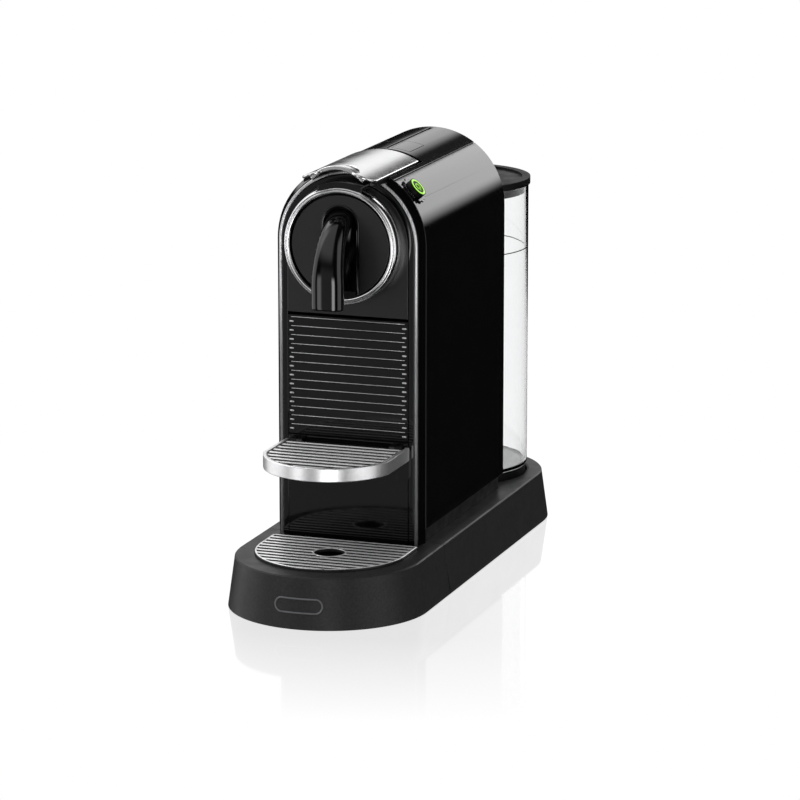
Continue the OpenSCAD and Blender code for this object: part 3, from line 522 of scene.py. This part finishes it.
def ribbed_front():
    """Slats across the front, each with a rounded upper edge over a narrow gap."""
    low, high = span("ribbed_front")
    gap, deep, lip = 0.9, 1.1, 0.3
    count = int((high.z - low.z) / RIB_PITCH)
    profile = [(high.y, high.z), (low.y + 0.2, high.z), (low.y, high.z - 0.2)]
    for i in range(count + 1):
        top = high.z - 1 - RIB_PITCH * i
        profile.append((low.y, top))
        profile += [(low.y + deep, top), (low.y + deep, top - gap)]
        profile += [(low.y + lip + y, top - gap - lip + z) for y, z in arc((0, 0), lip, 90, 180, 4)]
    profile = [(y, max(z, low.z)) for y, z in profile if z > low.z - RIB_PITCH / 2]
    profile += [(low.y, low.z), (high.y, low.z)]
    rings = [[(x, y, z) for y, z in profile] for x in (low.x, high.x)]
    slats = skin(rings, caps=True)
    obj = piece("ribbed_front_slats", *slats, "gloss_black_plastic", "drip_module", ["ribbed_front"])
    return round_edges(obj, 0.08, 2, 50)


def bar_x(section, ends, y, z):
    """A closed bar along X: its section, moved to y and z and scaled by each end's (x, scale)."""
    return skin([[(x, y + a * scale, z + b * scale) for a, b in section] for x, scale in ends], caps=True)


def rib_highlights_and_stops():
    """A painted highlight along every slat, a fine bright metal bead on its upper edge where the gloss plastic
    shows only a highlight, and a short raised stop at each of its ends.
    """
    low, high = span("ribbed_front")
    radius, half_long, inset = 0.2, 38.2, 0.02
    # Painted highlight: the bead's section, a bright metal line standing in for the slat edge's highlight
    edge = arc((inset, 0), radius, 180, -150, 11)
    highlight_ends = ((-half_long - 0.2, 0.3), (-half_long, 1), (half_long, 1), (half_long + 0.2, 0.3))
    proud, sunk, half_high = 0.5, 0.4, 0.55
    stop = [(-proud * y, -half_high * x) for x, y in arc((0, 0), 1, 0, 180, 9)]
    stop = [(sunk, -half_high)] + stop + [(sunk, half_high)]
    stop_ends = ((36.6, 0.5), (36.9, 0.9), (37.3, 1), (38.7, 1), (39.1, 0.9), (39.4, 0.5))
    edges, stops = [], []
    for i in range(int((high.z - low.z) / RIB_PITCH)):
        z = high.z - 1.35 - RIB_PITCH * i
        edges.append(bar_x(edge, highlight_ends, low.y, z))
        for side in (-1, 1):
            ends = [(side * x, scale) for x, scale in stop_ends]
            stops.append(bar_x(stop, ends, low.y, z - RIB_PITCH / 2))
    # Painted highlights: one bright bead per slat edge
    many("rib_painted_highlights", edges, "brushed_trim", "drip_module")
    many("rib_stops", stops, "brushed_trim", "drip_module")


# ---------------------------------------------------------------- lever

# Outer radius and thickness of the plate, and the lobes' and the notch's radii
PLATE_R, PLATE_T = 50.7, 1.5
LOBE_R, NOTCH_R, LOBE_Y = 9, 12, -103.5
# Radius, thickness and half width of the lip, and its front and back
LIP_R, LIP_T, LIP_HALF = 25.0, 2.8, 18.4
LIP_Y = (-109.5, -104.0)


def lever_plan():
    """The lever's outline from above: a straight back and sides, two round lobes and a notch between them."""
    high = span("lever_skin")[1]
    half, back = high.x, high.y
    lobe_x = half - LOBE_R
    # Where the notch's circle crosses a lobe's
    cross_x = (lobe_x * lobe_x + NOTCH_R * NOTCH_R - LOBE_R * LOBE_R) / (2 * lobe_x)
    cross_y = -sqrt(NOTCH_R * NOTCH_R - cross_x * cross_x)
    at_lobe = degrees(pi / 2 - atan((cross_x - lobe_x) / cross_y)) + 180
    at_notch = degrees(atan(cross_y / cross_x))
    right = [(half, back)] + arc((lobe_x, LOBE_Y), LOBE_R, 0, at_lobe - 360, 26)
    right += arc((0, LOBE_Y), NOTCH_R, at_notch, 90, 22)[1:]
    left = [(-x, y) for x, y in reversed(right[:-1])]
    return right + left


def inset_plan(outline, depth):
    """Moves a closed outline inwards along its corners' bisectors."""
    moved = []
    for i, (x, y) in enumerate(outline):
        before, after = Vector(outline[i - 1]), Vector(outline[(i + 1) % len(outline)])
        one, two = (Vector((x, y)) - before).normalized(), (after - Vector((x, y))).normalized()
        across = Vector((one.y + two.y, -one.x - two.x)).normalized()
        stretch = 1 / max(0.5, across.dot(Vector((two.y, -two.x))))
        moved.append((x + across.x * depth * stretch, y + across.y * depth * stretch))
    return moved


def lever_plate():
    """Plated sheet with a rolled edge, drawn flat and then bent to the arch."""
    arch_z, strip = middle("head_ring").z - 1, 1.3
    edge = ((0.7, 0), (0.45, 0.06), (0.2, 0.22), (0.05, 0.48), (0, 0.8), (0, PLATE_T - 0.3), (0.3, PLATE_T))
    outline = lever_plan()
    mesh = bmesh.new()
    rings = [[mesh.verts.new((x, y, -depth)) for x, y in inset_plan(outline, side)] for side, depth in edge]
    for first, second in zip(rings, rings[1:]):
        for j in range(len(first)):
            k = (j + 1) % len(first)
            mesh.faces.new((first[j], first[k], second[k], second[j]))
    mesh.faces.new(rings[0])
    mesh.faces.new(rings[-1])
    for i in range(-19, 20):
        bmesh.ops.bisect_plane(mesh, geom=mesh.verts[:] + mesh.edges[:] + mesh.faces[:],
                               plane_co=(i * strip, 0, 0), plane_no=(1, 0, 0))
    bmesh.ops.triangulate(mesh, faces=[face for face in mesh.faces if len(face.verts) > 4])
    points = []
    for vertex in mesh.verts:
        turn = asin(vertex.co.x / PLATE_R)
        radius = PLATE_R + vertex.co.z
        points.append((radius * sin(turn), vertex.co.y, arch_z + radius * cos(turn)))
    mesh.verts.index_update()
    faces = [tuple(vertex.index for vertex in face.verts) for face in mesh.faces]
    mesh.free()
    plate = piece("lever_plate", points, faces, "chrome_plate", "lever", ["lever_skin"])
    even = plate.modifiers.new("normals", "WEIGHTED_NORMAL")
    even.weight = 50
    return plate


def lever_lip():
    """The arched finger lip across the notch."""
    centre_z = span("lever_skin")[1].z - LIP_R
    span_a = degrees(asin(LIP_HALF / LIP_R))
    front, back = LIP_Y
    corners = [(LIP_R, front), (LIP_R, back), (LIP_R - LIP_T, back), (LIP_R - LIP_T, front)]
    rings = []
    for i in range(49):
        turn = radians(-span_a + 2 * span_a * i / 48)
        rings.append([(r * sin(turn), y, centre_z + r * cos(turn)) for r, y in corners])
    lip = piece("lever_lip", *skin(rings, caps=True), "chrome_plate", "lever")
    return round_edges(lip, 0.7, 4, 50)


# ---------------------------------------------------------------- small details

# How far the base's walls lean in from the floor to the rim
BASE_DRAFT = 4.5


def tube_along(name, path, radius, slot, body, closed=True, sides=8, up=Vector((0, 0, 1))):
    """A round bead of the given radius along a path of points."""
    path = [Vector(point) for point in path]
    rings = []
    for i, point in enumerate(path):
        after = path[(i + 1) % len(path)] if closed or i + 1 < len(path) else point
        before = path[i - 1] if closed or i > 0 else point
        along = (after - before).normalized()
        side = along.cross(up).normalized()
        over = side.cross(along)
        rings.append([point + radius * (side * cos(2 * pi * k / sides) + over * sin(2 * pi * k / sides))
                      for k in range(sides)])
    points, faces = skin(rings, loop=closed, caps=not closed)
    return piece(name, points, faces, slot, body)


def level_mark():
    """The fill mark: a fine line round the tank's wall."""
    low, high = span("water_tank")
    center = middle("water_tank")
    radius, wall_t, mark_z = center.x - low.x, 0.9, 151
    y_mid, z = high.y - radius, low.z + mark_z
    flat = low.y + wall_t
    wall = radius - wall_t
    corner = degrees(pi / 2 - atan(sqrt(wall ** 2 - (y_mid - flat) ** 2) / (y_mid - flat)))
    path = [(x, y_mid + y, z) for x, y in arc((0, 0), wall, -corner, 180 + corner, 96)]
    return tube_along("level_mark", path, 0.35, "inner_plastic", "water_tank")


def power_symbol():
    """A broken circle with a bar, on the button's face."""
    ring = middle("power_light_ring")
    joint = next(j for j in frame["record"]["behaviour"]["joints"] if j["name"] == "power_button_press")
    out = -Vector(joint["axis"]).normalized()
    right = Vector((0, 1, 0))
    up = right.cross(out)
    base = ring + out * 0.1

    def at(x, y):
        return base + right * x + up * y

    radius, line, half_gap = 2.3, 0.4, 38
    loop = [at(radius * sin(radians(t)), radius * cos(radians(t))) for t in range(half_gap, 361 - half_gap, 12)]
    tube_along("power_symbol_arc", loop, line, "green_light", "power_button", closed=False, up=out)
    bar = [at(0, line), at(0, radius + 0.6)]
    tube_along("power_symbol_bar", bar, line, "green_light", "power_button", closed=False, up=out)


def emblem_frame():
    """An empty pill-shaped frame on the front of the drip base."""
    low, high = span("drip_base")
    radius, height = high.x, high.z
    y_mid = low.y + radius
    half_long, half_high, x_mid, z_mid = 15.6, 4.4, 1.7, 15.2
    outline = [(half_long - half_high + x, z) for x, z in arc((0, 0), half_high, -90, 90, 16)]
    outline += [(half_high - half_long + x, z) for x, z in arc((0, 0), half_high, 90, 270, 16)]
    path = []
    for i, (x, z) in enumerate(outline):
        after = outline[(i + 1) % len(outline)]
        steps = 10 if abs(after[0] - x) > half_high else 1
        path += [(x + (after[0] - x) * k / steps, z + (after[1] - z) * k / steps) for k in range(steps)]
    wall = [(x, z_mid + z, radius - BASE_DRAFT * (z_mid + z) / height) for x, z in path]
    on_wall = [(r * sin((x_mid + x) / r), y_mid - r * cos((x_mid + x) / r), z) for x, z, r in wall]
    return tube_along("emblem_frame", on_wall, 0.6, "grey_print", "drip_module", up=Vector((0, -1, 0)))


def base_seam_shade_strip():
    """A painted shadow in the joint between the base's two halves: a black strip up the walls and over the
    rims, darkening the narrow seam where there is only shade.
    """
    low, high = span("drip_base")
    sunk, deep, rim = 0.15, 2.0, 7.0
    y0, y1 = high.y, high.y + 1.0
    shapes = []
    for side in (-1, 1):
        foot, top = high.x - sunk, high.x - BASE_DRAFT - sunk
        outline = [(foot, low.z + 1.2), (top + 0.2, high.z - sunk - 0.8), (top - 0.8, high.z - sunk)]
        outline += [(top - rim, high.z - sunk), (top - rim, high.z - deep), (top - deep, high.z - deep)]
        outline += [(foot - deep, low.z + 1.2)]
        shapes.append(skin([[(side * x, y, z) for x, z in outline] for y in (y0, y1)], caps=True))
    # Painted shadow: black strips set into the seam to darken it
    return many("base_seam_shade_strip", shapes, "matte_black_plastic", "machine")


head_ring()
front_trim()
head_disc()
spout()
ribbed_front()
rib_highlights_and_stops()
lever_plate()
lever_lip()
level_mark()
power_symbol()
emblem_frame()
base_seam_shade_strip()


# ---------------------------------------------------------------- stage, lights and camera

AZIMUTH, ELEVATION, DISTANCE = 19.344, 12.743, 2.7232
TARGET = Vector((0.0033, 0.0, 0.1065))


def toward(azimuth, elevation):
    """Unit vector for an azimuth, from -Y turning towards +X, and an elevation, in degrees."""
    a, e = radians(azimuth), radians(elevation)
    return Vector((sin(a) * cos(e), -cos(a) * cos(e), sin(e)))


def make_camera():
    """A long lens at the photograph's viewing angle."""
    back = toward(AZIMUTH, ELEVATION)
    data = bpy.data.cameras.new("camera")
    data.lens = 186.43
    data.sensor_width = 36
    data.clip_end = 60
    camera = bpy.data.objects.new("camera", data)
    bpy.context.scene.collection.objects.link(camera)
    camera.location = TARGET + back * DISTANCE
    camera.rotation_euler = (-back).to_track_quat("-Z", "Y").to_euler()
    bpy.context.scene.camera = camera


def make_floor():
    """Pale polished studio floor that glows evenly and mirrors faintly."""
    bpy.ops.mesh.primitive_plane_add(size=30, location=(0, 0, 0))
    floor = bpy.context.object
    floor.name = "studio_floor"
    s = Shader("studio_floor", (0.02, 0.02, 0.02), 0.06, IOR=1.42, Emission_Strength=0.76)
    s.set("Emission Color", (1, 1, 1, 1))
    s.vary_roughness(s.noise(3, 4), 0.04, 0.07)
    away = s.tree.nodes.new("ShaderNodeVectorMath")
    away.operation = "LENGTH"
    s.link(s.coords, away.inputs[0])
    plain = s.tree.nodes.new("ShaderNodeEmission")
    blend = s.tree.nodes.new("ShaderNodeMixShader")
    s.link(s.spread(away.outputs["Value"], 0, 1, 0.2, 0.37), blend.inputs["Fac"])
    s.link(s.shader.outputs[0], blend.inputs[1])
    s.link(plain.outputs[0], blend.inputs[2])
    s.link(blend.outputs[0], s.tree.nodes["Material Output"].inputs["Surface"])
    floor.data.materials.append(s.material)
    floor.visible_glossy = False
    floor.visible_diffuse = False


# Softboxes as reflections see them: middle azimuth, then where each fades in and out, in degrees from
# that middle for azimuth and from the horizon for elevation, and its strength
SOFTBOXES = (
    (-92, (-30, -18, 24, 34), (-30, -20, 50, 70), 1.2),
    (-39, (-14, -5, 5, 14), (-34, -22, -4, 6), 2.0),
    (18, (-12, -6, 4, 12), (-38, -26, -6, 4), 6.0),
    (-8, (-34, -20, 20, 34), (-34, -22, 4, 24), 0.3),
    (76, (-30, -18, 18, 27), (-30, -20, 40, 60), 1.3),
    (-165, (-11, -3, 42, 56), (5, 13, 32, 44), 1.1),
    (-130, (-40, -28, 28, 40), (34, 46, 60, 70), 2.0),
    (-40, (-60, -40, 40, 60), (16, 40, 91, 92), 0.9),
    (166, (-14, -10, 10, 11), (-1, 8, 34, 44), 2.4),
    (180, (-24, -14, 14, 24), (-2, 4, 34, 44), 0.04),
)
AMBIENT = 0.006


def make_world():
    """White to the camera and through clear plastic; a dark studio with softboxes to reflections."""
    world = bpy.data.worlds.new("studio")
    bpy.context.scene.world = world
    world.use_nodes = True
    nodes, links = world.node_tree.nodes, world.node_tree.links

    def put(value, node_input):
        if isinstance(value, (int, float)):
            node_input.default_value = value
        else:
            links.new(value, node_input)

    def calc(operation, *values):
        node = nodes.new("ShaderNodeMath")
        node.operation = operation
        for value, node_input in zip(values, node.inputs):
            put(value, node_input)
        return node.outputs[0]

    def window(angle, stops):
        """1 between the two middle stops, and fading to 0 at the outer ones."""
        sides = []
        for start, end in (stops[:2], stops[:1:-1]):
            node = nodes.new("ShaderNodeMapRange")
            node.interpolation_type = "SMOOTHSTEP"
            put(angle, node.inputs["Value"])
            node.inputs["From Min"].default_value = start
            node.inputs["From Max"].default_value = end
            sides.append(node.outputs["Result"])
        return calc("MULTIPLY", *sides)

    split = nodes.new("ShaderNodeSeparateXYZ")
    links.new(nodes.new("ShaderNodeTexCoord").outputs["Generated"], split.inputs[0])
    x, y, z = split.outputs
    azimuth = calc("DEGREES", calc("ARCTAN2", x, calc("MULTIPLY", y, -1.0)))
    elevation = calc("DEGREES", calc("ARCSINE", z))
    seen = AMBIENT
    for centre, across, upward, strength in SOFTBOXES:
        turned = calc("WRAP", calc("SUBTRACT", azimuth, float(centre)), 180.0, -180.0)
        glow = calc("MULTIPLY", window(turned, across), window(elevation, upward))
        seen = calc("MULTIPLY_ADD", glow, strength, seen)
    path = nodes.new("ShaderNodeLightPath")
    for ray, strength in (("Is Diffuse Ray", 0.75), ("Is Camera Ray", 1.0), ("Is Transmission Ray", 1.0)):
        mix = nodes.new("ShaderNodeMix")
        put(path.outputs[ray], mix.inputs["Factor"])
        put(seen, mix.inputs["A"])
        mix.inputs["B"].default_value = strength
        seen = mix.outputs["Result"]
    links.new(seen, nodes["Background"].inputs["Color"])


def key_light(name, azimuth, elevation, size, power, distance=2.4):
    """A soft light for the matt surfaces only."""
    data = bpy.data.lights.new(name, "AREA")
    data.shape = "RECTANGLE"
    data.size, data.size_y = size
    data.energy = power
    light = bpy.data.objects.new(name, data)
    bpy.context.scene.collection.objects.link(light)
    light.location = TARGET + toward(azimuth, elevation) * distance
    light.rotation_euler = toward(azimuth, elevation).to_track_quat("Z", "Y").to_euler()
    light.visible_glossy = False
    return light


make_camera()
make_floor()
make_world()
key_light("key_left", -60, 35, (1.2, 1.2), 18)
bpy.context.scene.view_settings.view_transform = "Standard"
